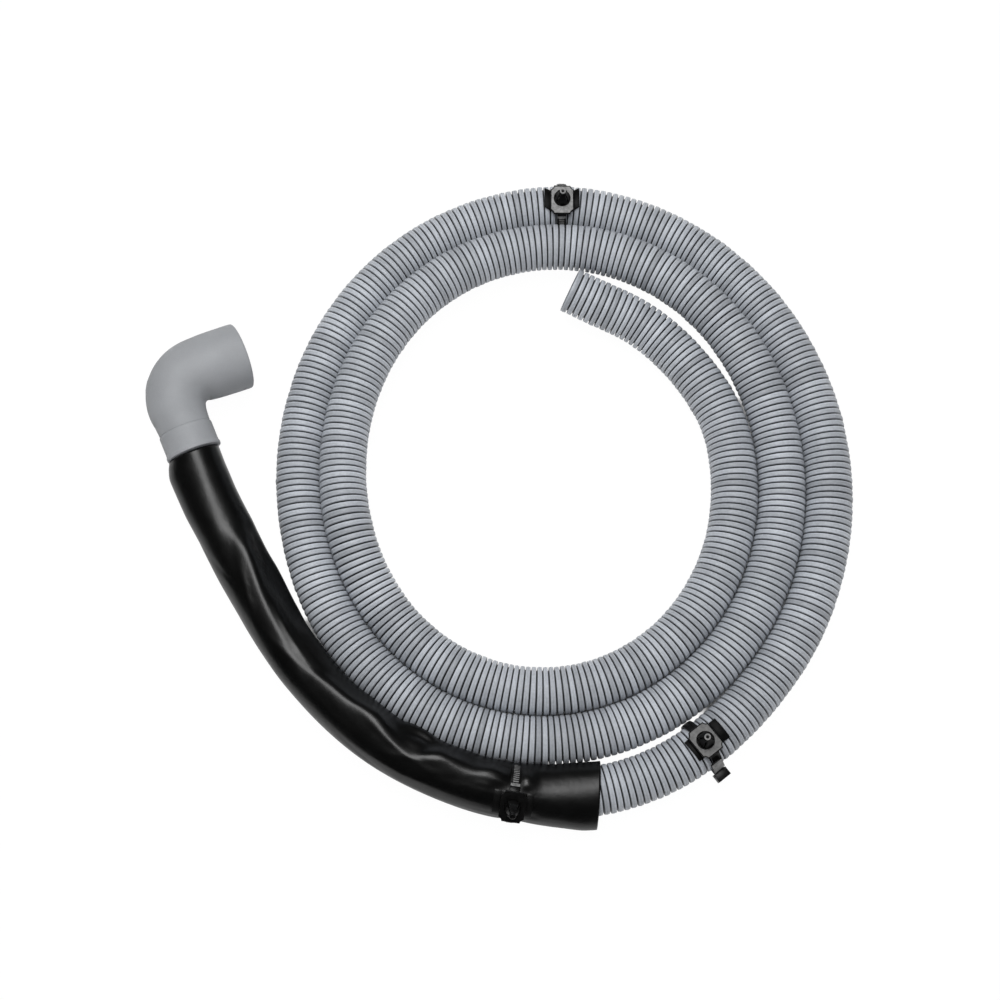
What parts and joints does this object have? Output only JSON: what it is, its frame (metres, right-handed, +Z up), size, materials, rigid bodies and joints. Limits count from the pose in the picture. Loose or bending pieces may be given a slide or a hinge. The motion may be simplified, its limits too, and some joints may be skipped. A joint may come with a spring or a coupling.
{
  "type": "washing machine drain hose",
  "caption": "Corrugated drain hose lying in a flat coil, with a rubber elbow at one end, a loose protective sleeve and strapped push mounts.",
  "frame": {"origin": "middle of the part's bounding box, at floor level", "axes": "+Z up from the floor; +X across the coil, away from the elbow; the free end points roughly towards -X"},
  "size_m": [0.4132, 0.3932, 0.046],
  "materials": {
    "hose": "grey polypropylene, corrugated, slightly glossy",
    "elbow": "smooth grey moulded rubber",
    "sleeve": "thin glossy black plastic film, wrinkled",
    "tie": "black nylon",
    "mount": "black moulded nylon with a soft sheen"
  },
  "bodies": {
    "root": {"hose": "hose", "hose_free_end": "hose", "elbow": "elbow", "sleeve": "sleeve", "cable_tie_sleeve": "tie", "cable_tie_lower": "tie", "cable_tie_upper": "tie", "push_mount_sleeve": "mount", "push_mount_lower": "mount", "push_mount_upper": "mount"}
  },
  "joints": []
}
